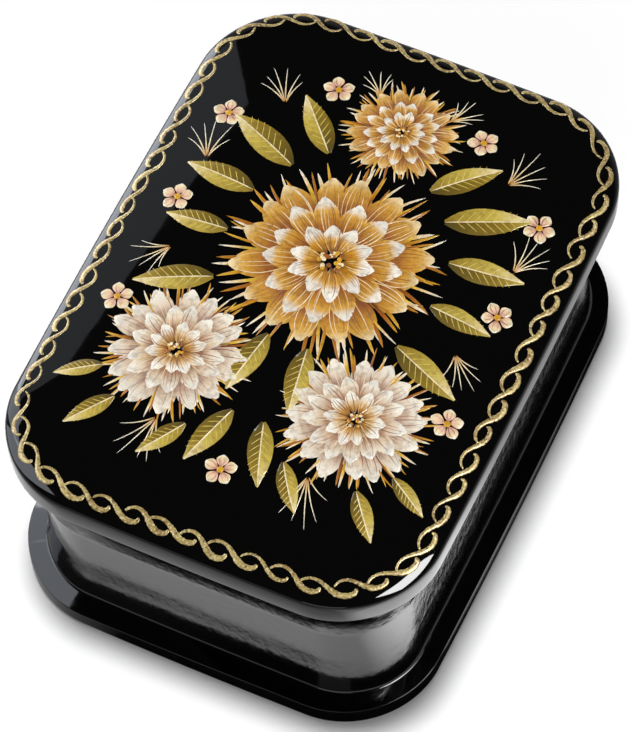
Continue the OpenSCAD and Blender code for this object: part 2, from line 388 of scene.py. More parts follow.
def rounded(corners, closed=True):
    """A profile of (inset, height) points from corners of (inset, height, radius)."""
    points = []
    for i, (inset, z, radius) in enumerate(corners):
        here = np.array([inset, z])
        if radius == 0 or (not closed and i in (0, len(corners) - 1)):
            points.append(here)
            continue
        before = np.array(corners[i - 1][:2]) - here
        after = np.array(corners[(i + 1) % len(corners)][:2]) - here
        start = here + before / np.linalg.norm(before) * radius
        end = here + after / np.linalg.norm(after) * radius
        for t in np.linspace(0, 1, ROUND_STEPS + 1):
            points.append(start * (1 - t) ** 2 + here * 2 * t * (1 - t) + end * t ** 2)
    return points


def smooth(points, per_span):
    """A curve through all points (Catmull-Rom), with some steps for each span."""
    padded = np.concatenate([[2 * points[0] - points[1]], points, [2 * points[-1] - points[-2]]])
    curve = []
    for a, b, c, d in zip(padded, padded[1:], padded[2:], padded[3:]):
        for t in np.arange(per_span) / per_span:
            cubic = 2 * a - 5 * b + 4 * c - d + t * (3 * (b - c) + d - a)
            curve.append(b + 0.5 * t * (c - a + t * cubic))
    return np.array(curve + [points[-1]])


def shell(rings, closed):
    """Vertices and faces through rings of equal length. Closed joins the last ring to the first."""
    count, size = len(rings), len(rings[0])
    faces = []
    for k in range(count if closed else count - 1):
        m = (k + 1) % count
        for i in range(size):
            j = (i + 1) % size
            faces.append((k * size + i, k * size + j, m * size + j, m * size + i))
    if not closed:
        faces.append(tuple(range(size)))
        faces.append(tuple(range((count - 1) * size, count * size)))
    return np.concatenate(rings), faces


# %% A mesh, and a piece that rides on the construction
def solid(name, vertices, faces):
    """A mesh object whose faces all look outwards."""
    mesh = bpy.data.meshes.new(name)
    mesh.from_pydata([tuple(v) for v in vertices], [], faces)
    work = bmesh.new()
    work.from_mesh(mesh)
    bmesh.ops.recalc_face_normals(work, faces=work.faces)
    work.to_mesh(mesh)
    work.free()
    made = bpy.data.objects.new(name, mesh)
    bpy.context.scene.collection.objects.link(made)
    return made


def piece(made, material, body, replaced=(), sharp=38):
    """Gives an object its finish and its body, and hides the construction pieces that it stands for."""
    made.data.shade_smooth()
    made.data.set_sharp_from_angle(angle=math.radians(sharp))
    made.data.materials.append(material)
    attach(made, body)
    if replaced:
        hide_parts(*replaced)
    print(made.name, "has", len(made.data.polygons), "faces")


def cut(made, cutters):
    """Cuts the cutters out of a solid, applies the cut and removes the cutters."""
    for cutter in cutters:
        change = made.modifiers.new("cut", "BOOLEAN")
        change.operation, change.solver, change.object = "DIFFERENCE", "EXACT", cutter
    scene_state = bpy.context.evaluated_depsgraph_get()
    mesh = bpy.data.meshes.new_from_object(made.evaluated_get(scene_state))
    made.modifiers.clear()
    made.data = mesh
    for cutter in cutters:
        bpy.data.objects.remove(cutter)


# %% [markdown]
# The hinge lies in a round groove, half of it in the wall and half in the lid, and its two leaves lie
# in shallow recesses. Both are cut out of the smooth shells, just as a maker would chisel them.

# %% Cutters for the hinge
GROOVE_STEPS = 64
knuckle_room = 0.4 * mm
end_room = 0.2 * mm
groove_r = pin_high.z - pin_low.z + knuckle_room
groove_half = pin_high.x + end_room
axis_y = (pin_low.y + pin_high.y) / 2
axis_z = (pin_low.z + pin_high.z) / 2
leaf_t = 0.4 * mm


def groove_cutter():
    turns = 2 * np.pi * np.arange(GROOVE_STEPS) / GROOVE_STEPS
    circle = np.column_stack([axis_y + groove_r * np.cos(turns), axis_z + groove_r * np.sin(turns)])
    ends = [np.column_stack([np.full(len(circle), x), circle]) for x in (-groove_half, groove_half)]
    return solid("groove_cutter", *shell(ends, closed=False))


def leaf_cutter(z0, z1):
    xs = (leaf_low.x, leaf_high.x, leaf_high.x, leaf_low.x)
    ys = (leaf_low.y, leaf_low.y, axis_y, axis_y)
    rings = [np.column_stack([xs, ys, [z] * 4]) for z in (z0, z1)]
    return solid("leaf_cutter", *shell(rings, closed=False))


print("groove radius %.2f mm" % (groove_r / mm))

# %% [markdown]
# The lid is one shell: rim, rolled edge and dome were lacquered as one skin, so no joint shows.
# Its underside is hollow over the box. The rim bulges and leans in a little towards its lower edge, so
# it mirrors the table as a bright band above and a darker one below. The arris between rim and roll is
# rounded by about a third of a millimetre, and so the bright band fades out before the roll.

# %% The lid
DOME_SHARES = [
    1, 0.98, 0.95, 0.92, 0.88, 0.84, 0.8, 0.75, 0.7,
    0.64, 0.58, 0.52, 0.45, 0.38, 0.3, 0.22, 0.14, 0.06,
]
DOME_POWER = 3


def roll_height(inset):
    """Height of the rolled band above the arris."""
    return roll_slope * inset - roll_bend * inset ** 2


def dome_height(share):
    """Height of the dome above the roll, where share runs from 0 in the middle to 1 at the roll."""
    return dome_h * (1 - share ** DOME_POWER)


def hollow_z(share):
    """Height of the lid's underside."""
    return panel_low.z + hollow_h * (1 - share ** DOME_POWER)


roll_start = 0.6 * mm
rim_lean = 0.07 * mm
fullest_q = 0.65
arris_in = 0.06 * mm
arris_round = 0.36 * mm
bulging = [(rim_lean * (1 - q / fullest_q) ** 2, lid_low.z + (arris_z - lid_low.z) * q, 0)
           for q in np.linspace(0.1, 0.8, 9)]
rim = rounded([
    (frame_in, panel_low.z, 0), (frame_in, lid_low.z, 0.15 * mm), (rim_lean, lid_low.z, 0.24 * mm),
    *bulging, (arris_in, arris_z + roll_height(arris_in), arris_round),
    (roll_start, arris_z + roll_height(roll_start), 0),
], closed=False)
roll_insets = np.linspace(roll_start, roll_w, 7)[1:-1]
lid_rings = [ring(frame_in, hollow_z(share), share) for share in DOME_SHARES[::-1]]
lid_rings += [ring(inset, z) for inset, z in rim[1:]]
lid_rings += [ring(inset, arris_z + roll_height(inset)) for inset in roll_insets]
lid_rings += [ring(roll_w, roll_z + dome_height(share), share) for share in DOME_SHARES]
lid = solid("lid_lacquered", *shell(lid_rings, closed=False))
cut(lid, [groove_cutter(), leaf_cutter(lid_low.z - 1 * mm, lid_low.z + leaf_t)])
piece(lid, lid_black, "lid", ["lid_frame", "lid_panel"])

# %% [markdown]
# The red inside of the lid is a coat of paint with a crisp lower edge, where the brush stopped at the
# black rim. It is a thin dish that is set into the lid from below and stands a hair proud of it.

# %% The lid's red lining
lining_t = 0.06 * mm
lining_edge = lid_low.z + 0.35 * mm
seen = [ring(frame_in + lining_t, hollow_z(s) - lining_t, s) for s in DOME_SHARES[::-1]]
hidden = [ring(frame_in - lining_t, hollow_z(s) + lining_t, s) for s in DOME_SHARES]
edge = [ring(frame_in + lining_t, lining_edge), ring(frame_in - lining_t, lining_edge)]
lining = solid("lid_lining", *shell(seen + edge + hidden, closed=False))
piece(lining, red, "lid")

# %% [markdown]
# The wall is a strip wound and glued, then lacquered until it looks turned from one piece. Under the
# lid it swells out into a collar, which mirrors the dark underside and reads as a soft dark band.
# Below, it spreads towards its foot, where lacquer has pooled in the corner with the base board, and
# its right side leans out a third of a millimetre more. Such slight slopes are hardly seen as shapes,
# but they decide what each part of the wall mirrors.

# %% How the wall's outside runs
# Height above the base board, and how far the wall spreads out there (mm)
SPREAD = np.array([
    (0.3, 0.53), (0.9, 0.475), (1.9, 0.386), (2.9, 0.298), (3.9, 0.211),
    (4.7, 0.143), (5.6, 0.077), (6.4, 0.037), (7.4, 0.009), (8.4, 0),
])
# Height above the base board, and how far lacquer has run out there beyond the spread foot (mm)
POOLED = np.array([(0, 0.30), (0.03, 0.22), (0.09, 0.12), (0.18, 0.05)])
# Height below the top of the wall, and how far it has swollen there (mm)
SWELLING = np.array([
    (12.4, 0), (12.0, 0.009), (11.6, 0.028), (11.2, 0.057), (10.6, 0.111), (10.0, 0.170),
    (9.4, 0.235), (8.8, 0.306), (8.2, 0.384), (7.6, 0.469), (7.0, 0.564), (6.4, 0.675),
    (5.8, 0.819), (5.2, 1.0), (4.6, 1.197), (4.1, 1.28), (3.6, 1.3),
])
# Height above the base board, and how much further the right side leans out there (mm)
LEAN = np.array([
    (0, 0.353), (4.7, 0.353), (6.4, 0.317), (8.4, 0.202), (10.4, 0.08), (11.9, 0.02), (13.4, 0),
])
LEAN_COMES_IN = (18 * mm, 27 * mm)
print("the wall's foot stands %.2f mm out" % (SPREAD[0, 1] + POOLED[0, 1]))

# %% The wall
spread = [(overhang - out * mm, wall_low.z + above * mm, 0) for above, out in smooth(SPREAD, 2)]
swelling = [(overhang - out * mm, wall_high.z - below * mm, 0) for below, out in smooth(SWELLING, 2)]
foot_in = overhang - (SPREAD[0, 1] + POOLED[0, 1]) * mm
pooled = [(foot_in + (POOLED[0, 1] - out) * mm, wall_low.z + above * mm, 0) for above, out in POOLED]
wall_profile = rounded([
    *pooled, *spread, *swelling,
    (collar_in, wall_high.z, 0.22 * mm), (wall_in, wall_high.z, 0.1 * mm), (wall_in, wall_low.z, 0),
])


def leaned(inset, z):
    """The outline at an inset and a height, with the lean of the right side."""
    points = ring(inset, z)
    out = np.interp((z - wall_low.z) / mm, LEAN[:, 0], LEAN[:, 1]) * mm
    points[:, 0] += out * np.interp(points[:, 0], LEAN_COMES_IN, (0, 1))
    return points


wall_rings = [leaned(*p) if p[0] < wall_in - mm else ring(*p) for p in wall_profile]
wall = solid("wall_lacquered", *shell(wall_rings, closed=True))
cut(wall, [groove_cutter(), leaf_cutter(wall_high.z - leaf_t, wall_high.z + 1 * mm)])
piece(wall, wall_black, "box", ["wall"])

# %% [markdown]
# The liner strip stands proud of the wall and guides the lid. Its top is rounded over by sanding.

# %% The liner
sanded = 0.35 * mm
liner_profile = rounded([
    (wall_in, liner_low.z, 0), (wall_in, liner_high.z, sanded),
    (liner_in, liner_high.z, sanded), (liner_in, liner_low.z, 0),
])
liner = solid("liner_smooth", *shell([ring(*p) for p in liner_profile], closed=True))
piece(liner, red, "box", ["liner"])

# %% [markdown]
# Around the wall the base board slopes down to its edge, so that its left side mirrors the light at
# the left and all the rest of it the dark studio. Towards the right the slope falls to one half, or
# the lamp that makes the glare on the lid would show there too. The edge is only just rounded. Extra
# outlines close to both ends of the slope keep it flat, because shading is smoothed between them.

# %% The base board
board_slope = math.radians(18)
board_middle = 12 * mm
under_round = 0.9 * mm
edge_round = 0.05 * mm
beside_foot = 0.1 * mm
SLOPE_FALLS = (-15 * mm, 10 * mm)
RIGHT_SHARE = 0.5
past_edge = board_in + 0.15 * mm
before_foot = foot_in - beside_foot


def ledge_z(inset):
    """Height of the board's top, which slopes down from the wall."""
    return board_high.z - math.tan(board_slope) * (foot_in - inset)


board_profile = rounded([
    (board_middle, board_low.z, 0), (board_in, board_low.z, under_round),
    (board_in, board_low.z + 1.1 * mm, 0), (board_in, ledge_z(board_in) - 0.2 * mm, 0),
    (board_in, ledge_z(board_in), edge_round), (past_edge, ledge_z(past_edge), 0),
    (before_foot, ledge_z(before_foot), 0), (foot_in, board_high.z, 0),
    (foot_in + beside_foot, board_high.z, 0), (board_middle, board_high.z, 0),
], closed=False)
board_rings = [leaned(*p) if abs(p[0] - foot_in) < 2 * beside_foot else ring(*p) for p in board_profile]
for points in board_rings:
    top = points[:, 2] > board_high.z / 2
    less = np.interp(points[top, 0], SLOPE_FALLS, (1, RIGHT_SHARE))
    points[top, 2] = board_high.z - (board_high.z - points[top, 2]) * less
board = solid("base_lacquered", *shell(board_rings, closed=False))
piece(board, board_black, "box", ["base_board"])

# %% [markdown]
# The floor board and the metal keep their construction meshes and only get their finishes.

# %% Finishes for the pieces that stay
STAYING = {
    "floor_board": red, "hinge_leaf_box": brass, "hinge_leaf_lid": brass, "hinge_pin": brass,
    "hinge_nails_box": brass, "hinge_nails_lid": brass,
}
for node, material in STAYING.items():
    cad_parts[node].data.materials.clear()
    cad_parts[node].data.materials.append(material)
print("finished as they are:", sorted(STAYING))

# %% [markdown]
# Paint lies on the lid, so each stroke has to know the height of the lid under it. The same rule that
# shaped the lid gives it: on the rolled band the height follows the inset, and on the dome it follows
# how far the point is from the middle, as a share of the way out to the roll.


# %% The height of the lid under a point
def inset_of(x, y):
    """Distance from the outline, for the outline before its sides bow."""
    qx, qy = np.abs(x) - (half_x - corner_r), np.abs(y) - (half_y - corner_r)
    outside = np.hypot(np.maximum(qx, 0), np.maximum(qy, 0))
    return corner_r - outside - np.minimum(np.maximum(qx, qy), 0)


def reach(x, y):
    """How many times a point must be moved out from the middle to meet the roll's inner edge."""
    a, b, r = half_x - roll_w, half_y - roll_w, corner_r - roll_w
    x, y = np.maximum(np.abs(x), 1e-7), np.maximum(np.abs(y), 1e-7)
    cx, cy = a - r, b - r
    dot, square = x * cx + y * cy, x * x + y * y
    root = np.sqrt(np.maximum(dot * dot - square * (cx * cx + cy * cy - r * r), 0))
    return np.where(y * a <= x * cy, a / x, np.where(x * b <= y * cx, b / y, (dot + root) / square))


def lid_z(points):
    """Height of the lid's surface over points in plan."""
    flat = points / bow(points[:, 0], points[:, 1])
    inset = inset_of(flat[:, 0], flat[:, 1])
    share = 1 / reach(flat[:, 0], flat[:, 1])
    for _ in range(3):
        out = points / share[:, None]
        out = out / bow(out[:, 0], out[:, 1])
        share = share / reach(out[:, 0], out[:, 1])
    return np.where(inset < roll_w, arris_z + roll_height(inset), roll_z + dome_height(share))


probe = np.array([[0, 0], [20, 30], [31.5, 0]]) * mm
print("lid heights", np.round(lid_z(probe) / mm, 2))

# %% [markdown]
# A brush stroke is a long low mound of paint: it starts round, is fullest in the middle and runs out
# thin. Here it is a ribbon of seven points across, five on top and two sunk into the lid, swept along
# its line. Hundreds of them share one mesh, and each point remembers its colour.

# %% The brush
ACROSS = np.array([-1, -0.62, 0, 0.62, 1])
MOUND = np.array([0, 0.8, 1, 0.8, 0])
SUNK = 0.05
FULL_FROM = 0.08


class Brush:
    """Collects strokes for one painted piece."""

    def __init__(self):
        self.points, self.faces, self.colours = [], [], []
        self.count = 0

    def stroke(self, line, half_width, colours, height=0.03, lift=0.0):
        """A ribbon along a line in plan, lower where its half width is under FULL_FROM.
        Lengths in mm, colours one for each point of the line."""
        line = np.asarray(line, float)
        half_width = np.broadcast_to(half_width, len(line))
        along = np.gradient(line, axis=0)
        across = np.column_stack([-along[:, 1], along[:, 0]])
        across /= np.maximum(np.linalg.norm(across, axis=1), 1e-9)[:, None]
        flat = line[:, None] + across[:, None] * (ACROSS[None, :] * half_width[:, None])[:, :, None]
        under = lid_z(flat.reshape(-1, 2) * mm).reshape(flat.shape[:2])
        full = np.minimum(1, half_width / FULL_FROM)[:, None]
        top = np.dstack([flat * mm, under + (lift + height * MOUND[None, :] * full) * mm])
        low = top[:, [4, 0]].copy()
        low[:, :, 2] = under[:, [4, 0]] - SUNK * mm
        section = np.concatenate([top, low], axis=1)
        start, size = self.count, section.shape[1]
        for k in range(len(line) - 1):
            for i in range(size):
                a, b = start + k * size + i, start + k * size + (i + 1) % size
                self.faces.append((a, b, b + size, a + size))
        self.faces.append(tuple(start + i for i in range(size))[::-1])
        self.faces.append(tuple(start + (len(line) - 1) * size + i for i in range(size)))
        self.points.append(section.reshape(-1, 3))
        self.colours.append(np.repeat(np.broadcast_to(colours, (len(line), 3)), size, axis=0))
        self.count += section.shape[0] * size

    def painted(self, name):
        """The mesh object of all strokes, with the colour of each point."""
        made = solid(name, np.concatenate(self.points), self.faces)
        paint = made.data.color_attributes.new("paint", "FLOAT_COLOR", "POINT")
        colours = np.concatenate(self.colours)
        paint.data.foreach_set("color", np.column_stack([colours, np.ones(len(colours))]).ravel())
        return made


def blunt(t, start=0.06, end=0.06):
    """Rounds both ends of a stroke: 0 at its ends, 1 between them."""
    a = np.clip(t / start, 0, 1)
    b = np.clip((1 - t) / end, 0, 1)
    return np.sqrt(1 - (1 - a) ** 2) * np.sqrt(1 - (1 - b) ** 2)


# %% [markdown]
# The running scroll is one stroke repeated: a fat round start near the edge, a diagonal across the
# band, and a thin tail that curls back out and all but touches the next one. Sixty of them follow the
# lid's edge, clockwise seen from above. The painter's hand shows in small changes of size and place.

# %% The band that the scrolls follow
SCROLLS = 60
band_inset = 2.2
band_shift = np.array([-0.25, 0.62])
band_x, band_y = half_x / mm - band_inset, half_y / mm - band_inset
band_r = corner_r / mm - band_inset
run_x, run_y = 2 * (band_x - band_r), 2 * (band_y - band_r)
arc = band_r * math.pi / 2
loop = 2 * (run_x + run_y) + 4 * arc


def on_band(s, v):
    """A point at a distance s along the band, counterclockwise, and v outside its middle."""
    s = np.mod(s, loop)
    half = run_x + run_y + 2 * arc
    flip = np.where(s < half, 1, -1)
    w = np.where(s < half, s, s - half)
    first = np.clip((w - run_y) / band_r, 0, np.pi / 2)
    second = np.clip((w - run_y - arc - run_x) / band_r, 0, np.pi / 2)
    facing = first + second
    x = run_x / 2 - np.clip(w - run_y - arc, 0, run_x) + (band_r + v) * np.cos(facing)
    y = np.clip(w, 0, run_y) - run_y / 2 + (band_r + v) * np.sin(facing)
    points = np.column_stack([flip * x, flip * y]) * mm
    return bowed(points) / mm + band_shift


print("the band is %.1f mm long, one scroll in %.2f mm" % (loop, loop / SCROLLS))

# %% The gold scrolls
# Each row is a point of the brush: ahead of the crest, outside the band's middle, half width (mm)
SCROLL = np.array([
    (0.92, 0.16, 0.20), (1.02, 0.48, 0.27), (0.74, 0.82, 0.33), (0.10, 1.00, 0.36),
    (-0.65, 0.97, 0.39), (-1.40, 0.68, 0.40), (-2.15, 0.18, 0.37), (-2.95, -0.40, 0.30),
    (-3.75, -0.80, 0.25), (-4.50, -0.93, 0.23), (-5.20, -0.80, 0.20), (-5.75, -0.46, 0.18),
    (-6.10, 0.00, 0.16),
])
drawn_pitch = 4.4
crowding = 0.035
first_crest = 1.1
near_side = (-band_y + 3, -band_y + 12)
plain_gold = (0.6, 0.4, 0.15)
pitch = loop / SCROLLS
hand = np.random.default_rng(11)


scroll = smooth(SCROLL, 4)
t = np.linspace(0, 1, len(scroll))
border = Brush()
for k in range(SCROLLS):
    turn = 2 * np.pi * (pitch * k - run_y / 2) / loop
    s = pitch * k + crowding * loop / (2 * np.pi) * math.sin(turn) + first_crest
    near = np.interp(on_band(s, 0)[0, 1], near_side, (1, 0))
    wobble = hand.normal(0, 1, 6)
    stretch = pitch * (1 + crowding * math.cos(turn)) / drawn_pitch * (1 + 0.03 * wobble[1])
    ahead = scroll[:, 0] * stretch + 0.13 * wobble[2]
    v = scroll[:, 1] * (1 + 0.06 * near + 0.07 * wobble[0])
    v = v + 0.06 * wobble[3] + 0.05 * wobble[4] * np.sin(3 * t)
    ragged = 1 + 0.09 * hand.normal(0, 1, len(t)) + 0.1 * wobble[5]
    width = scroll[:, 2] * ragged * blunt(t, 0.04, 0.03)
    border.stroke(on_band(s + ahead, v), width, plain_gold, height=0.05)
piece(border.painted("gold_scrolls"), gold, "lid", ["gold_border"], sharp=80)

# %% [markdown]
# The bouquet is a generic one: a large golden chrysanthemum, three smaller ones of which two are
# nearly white, golden green leaves between them and pale buds around them. A petal starts as one full
# stroke that runs from brown at its root to cream at its tip. Fine strokes of brown, ochre and cream
# follow its length, and they give it its texture.

# %% Colours of the bouquet
BROWN = np.array([0.045, 0.012, 0.004])
RUST = np.array([0.31, 0.085, 0.006])
OCHRE = np.array([0.50, 0.205, 0.005])
HONEY = np.array([0.67, 0.335, 0.007])
SAND = np.array([0.75, 0.45, 0.04])
CREAM = np.array([0.88, 0.74, 0.44])
WHITE = np.array([0.90, 0.86, 0.76])
PINK = np.array([0.80, 0.47, 0.34])
OLIVE = np.array([0.07, 0.052, 0.005])
BRONZE = np.array([0.25, 0.165, 0.012])
STRAW = np.array([0.55, 0.42, 0.07])


def fade(t, stops):
    """Colours along t, from stops of (place, colour)."""
    places = [s[0] for s in stops]
    return np.column_stack([np.interp(t, places, [s[1][c] for s in stops]) for c in range(3)])


def heading(degrees):
    return np.array([math.cos(math.radians(degrees)), math.sin(math.radians(degrees))])


# %% A petal
PETAL_POINTS = 12
HAIR_TONES = [(BROWN, RUST, 0.8), (RUST, OCHRE, 0.7), (SAND, WHITE, 1.0), (OCHRE, CREAM, 0.9)]


def petal(brush, root, angle, length, width, stops, hairs, lift, lean=1.3, bend=0.0):
    """A full stroke and fine strokes over it. Lengths in mm."""
    t = np.linspace(0, 1, PETAL_POINTS)
    ahead, aside = heading(angle), heading(angle + 90)

    def spine(at):
        return root + np.outer(at * length, ahead) + np.outer(bend * length * at ** 2, aside)

    def half(at):
        return width / 2 * np.sin(np.pi * np.clip(at, 0.02, 0.985) ** lean) ** 0.72

    brush.stroke(spine(t), half(t), fade(t, stops), height=0.035, lift=lift)
    for k in range(hairs):
        v = (2 * (k + 0.5) / hairs - 1) * 0.82 + 0.05 * hand.normal()
        t0, t1 = hand.uniform(0.02, 0.3), hand.uniform(0.72, 0.96)
        step = np.linspace(0, 1, 8)
        at = t0 + (t1 - t0) * step
        line = spine(at) + np.outer(v * half(at), aside)
        near, far, strength = HAIR_TONES[int(hand.integers(0, len(HAIR_TONES)))]
        colours = fade(at, stops) * (1 - strength) + strength * fade(at, [(0, near), (1, far)])
        thin = hand.uniform(0.045, 0.085) * blunt(step, 0.3, 0.5)
        brush.stroke(line, np.maximum(thin, 0.012), colours, height=0.02, lift=lift + 0.03)


def dot(brush, at, radius, colour, lift=0.0, height=0.05):
    """A round drop of paint, as a very short stroke."""
    t = np.linspace(-0.995, 0.995, 9)
    line = np.asarray(at) + np.outer(t * radius, heading(hand.uniform(0, 180)))
    brush.stroke(line, radius * np.sqrt(1 - t ** 2), colour, height=height, lift=lift)


# %% Blossoms
FRILL_STROKES = 72
FRILL_TONES = [(RUST, OCHRE), (SAND, WHITE), (RUST, HONEY), (OCHRE, SAND), (SAND, WHITE)]
# Shares of the radius where petals start and end, their count, width, lift (mm) and colours
PETAL_RINGS = [
    (0.34, 1.0, 16, 0.35, 0.0,
     [(0, BROWN), (0.45, RUST), (0.6, OCHRE), (0.8, HONEY), (1, CREAM)]),
    (0.18, 0.74, 13, 0.28, 0.03,
     [(0, BROWN), (0.35, RUST), (0.55, OCHRE), (0.72, HONEY), (0.86, WHITE)]),
    (0.08, 0.46, 10, 0.21, 0.055,
     [(0, BROWN), (0.3, OCHRE), (0.5, HONEY), (0.68, WHITE)]),
]
HEART_DROPS = 26


def frill(brush, at, radius):
    """Thin single strokes that stick out between the outermost petals."""
    t = np.linspace(0, 1, 9)
    for i in range(FRILL_STROKES):
        angle = 360 * i / FRILL_STROKES + hand.normal(0, 3)
        out = radius * hand.uniform(1.06, 1.24)
        bend = hand.normal(0, 0.05) * out
        line = at + np.outer(0.6 * radius + (out - 0.6 * radius) * t, heading(angle))
        line = line + np.outer(bend * t ** 2, heading(angle + 90))
        near, far = FRILL_TONES[i % len(FRILL_TONES)]
        half = radius * hand.uniform(0.013, 0.024) * blunt(t, 0.1, 0.6) + 0.012
        brush.stroke(line, half, fade(t, [(0, BROWN), (0.5, near), (1, far)]), height=0.02)


def blossom(brush, at, radius, hairs, pale):
    """Three rings of petals, each over the last, and a heart of small drops. Pale runs from 0 to 1."""
    at = np.array(at, float)
    frill(brush, at, radius)
    for r0, r1, count, wide, lift, stops in PETAL_RINGS:
        start = hand.uniform(0, 360 / count)
        for i in range(count):
            angle = start + 360 * i / count + hand.normal(0, 2)
            length = radius * (r1 - r0) * (1 + 0.05 * hand.normal())
            root = at + heading(angle) * radius * r0
            whiter = [pale * min(1, max(0, 2 * place - 0.55)) for place, _ in stops]
            shade = [(place, (colour + (WHITE - colour) * share) * hand.uniform(0.84, 1.06))
                     for (place, colour), share in zip(stops, whiter)]
            bend = hand.normal(0, 0.05)
            petal(brush, root, angle, length, radius * wide, shade, hairs, lift, bend=bend)
    for i in range(HEART_DROPS):
        out = radius * 0.13 * math.sqrt(hand.uniform(0, 1))
        tone = (RUST, HONEY, CREAM)[i % 3]
        dot(brush, at + heading(hand.uniform(0, 360)) * out, radius * 0.026, tone, 0.07)


blossoms = Brush()
blossom(blossoms, (0, 5), 13.8, 6, 0.05)
blossom(blossoms, (-13.8, -17), 9.6, 4, 0.9)
blossom(blossoms, (13.8, -17), 9.6, 4, 0.9)
blossom(blossoms, (0, 29.3), 7.7, 4, 0.1)
bloom = blossoms.painted("blossom_strokes")
piece(bloom, blossom_tempera, "lid", ["painted_blossoms"], sharp=80)

# %% [markdown]
# A leaf is two strokes side by side, a dark half and a light half, with a pale midrib and fine veins
# that leave it at a slant. Sprays of grass, a few long thin strokes that fan out of one root, fill
# the black between the flowers.

# %% Leaves and grass
# Each row is a root x and y (mm), a heading (degrees) and a length (mm), and is mirrored to the left
LEAVES = [
    (8, 21.5, 48, 11), (12, 17.5, 26, 12.5), (15.3, 11.5, 8, 11), (15.8, 4, -3, 9.5),
    (14.2, -4, -22, 11.5), (3, -9.5, -80, 10.5), (2.4, -22.5, -72, 10), (7.5, -27, -58, 8),
    (22.3, -23, -30, 7), (18.5, -27, -52, 8),
]
SPRAYS = [
    (5.5, 34, 55, 5.5), (17.5, 27, 62, 7.5), (24, 14, 72, 7.5), (22, -1.5, -50, 6.5),
    (11.5, -27.5, -78, 8),
]
LEAF_HALVES = [
    (-0.5, [(0, OLIVE), (0.7, BRONZE), (1, STRAW)]),
    (0.5, [(0, BRONZE), (0.6, STRAW), (1, CREAM)]),
]
LEAF_SLENDER = 0.175
LEAF_VEINS = 7
SPRAY_BLADES = 6


def leaf(brush, x, y, angle, length):
    """Two halves, a midrib and veins."""
    root, ahead, aside = np.array([x, y]), heading(angle), heading(angle + 90)
    bend = hand.normal(0, 0.04)
    t = np.linspace(0, 1, PETAL_POINTS)
    half = length * LEAF_SLENDER * np.sin(np.pi * np.clip(t, 0.02, 0.98) ** 0.8) ** 0.9
    spine = root + np.outer(t * length, ahead) + np.outer(bend * length * t ** 2, aside)
    for k, stops in LEAF_HALVES:
        brush.stroke(spine + np.outer(k * half, aside), half * 0.54, fade(t, stops), height=0.03)
    brush.stroke(spine, 0.1 * blunt(t, 0.2, 0.4), CREAM, height=0.02, lift=0.03)
    for k in range(LEAF_VEINS):
        at = 0.14 + 0.1 * k
        start = root + ahead * at * length + aside * bend * length * at ** 2
        out = np.interp(at, t, half) * 0.92
        step = np.linspace(0, 1, 6)
        for way in (-1, 1):
            line = start + np.outer(step, aside * way * out + ahead * out * 0.9)
            brush.stroke(line, 0.05 * blunt(step, 0.4, 0.5) + 0.012, STRAW * 1.2, 0.015, 0.03)


def spray(brush, x, y, angle, size):
    """Long thin blades of grass that fan out of one root and bend outwards."""
    t = np.linspace(0, 1, 14)
    for k in range(SPRAY_BLADES):
        spread = 2 * k / (SPRAY_BLADES - 1) - 1
        length = size * (1 - 0.3 * spread ** 2) * hand.uniform(0.85, 1.05)
        turns = np.radians(angle + 26 * spread + 30 * spread * t + hand.normal(0, 3))
        steps = np.column_stack([np.cos(turns), np.sin(turns)]) * length / len(t)
        line = np.array([x, y]) + np.cumsum(steps, axis=0)
        half = 0.11 * (1 - 0.75 * t) * blunt(t, 0.2, 0.1) + 0.012
        brush.stroke(line, half, fade(t, [(0, OCHRE), (0.4, CREAM), (1, WHITE)]), 0.025)


leaves = Brush()
for way in (1, -1):
    for x, y, angle, length in SPRAYS:
        spray(leaves, way * x, y, angle if way > 0 else 180 - angle, length)
    for x, y, angle, length in LEAVES:
        leaf(leaves, way * x, y, angle if way > 0 else 180 - angle, length)
piece(leaves.painted("leaf_strokes"), leaf_tempera, "lid", ["painted_leaves"], sharp=80)

# %% [markdown]
# The buds are the palest notes: five short pink petals with white tips around an ochre drop.

# %% Buds
BUD_PETALS = [(0, RUST), (0.3, PINK), (0.8, CREAM), (1, WHITE)]
BUD_PAIRS = [(11.5, 32.5), (24.5, 22.5), (25, 6.5), (25.5, -12)]
buds = Brush()
for x, y in [(0, -31.5)] + [(way * x, y) for way in (1, -1) for x, y in BUD_PAIRS]:
    start = hand.uniform(0, 72)
    for i in range(5):
        angle = start + 72 * i + hand.normal(0, 3)
        root = np.array([x, y]) + heading(angle) * 0.35
        petal(buds, root, angle, 2.05 * hand.uniform(0.93, 1.05), 1.75, BUD_PETALS, 2, 0.0)
    dot(buds, (x, y), 0.5, HONEY, 0.04)
piece(buds.painted("bud_strokes"), bud_tempera, "lid", ["painted_buds"], sharp=80)

# %% [markdown]
# The box stands on a white table that runs out to a white horizon. The table glows a little for the
# camera, which lifts it to white and still keeps the box's shadow.

# %% The table
TABLE_SIZE = 8.0
SQUARE = ((-1, -1), (1, -1), (1, 1), (-1, 1))
table_mesh = bpy.data.meshes.new("table")
table_corners = [(sx * TABLE_SIZE / 2, sy * TABLE_SIZE / 2, 0) for sx, sy in SQUARE]
table_mesh.from_pydata(table_corners, [], [(0, 1, 2, 3)])
table = bpy.data.objects.new("table", table_mesh)
bpy.context.scene.collection.objects.link(table)
print("white table of", TABLE_SIZE, "m")
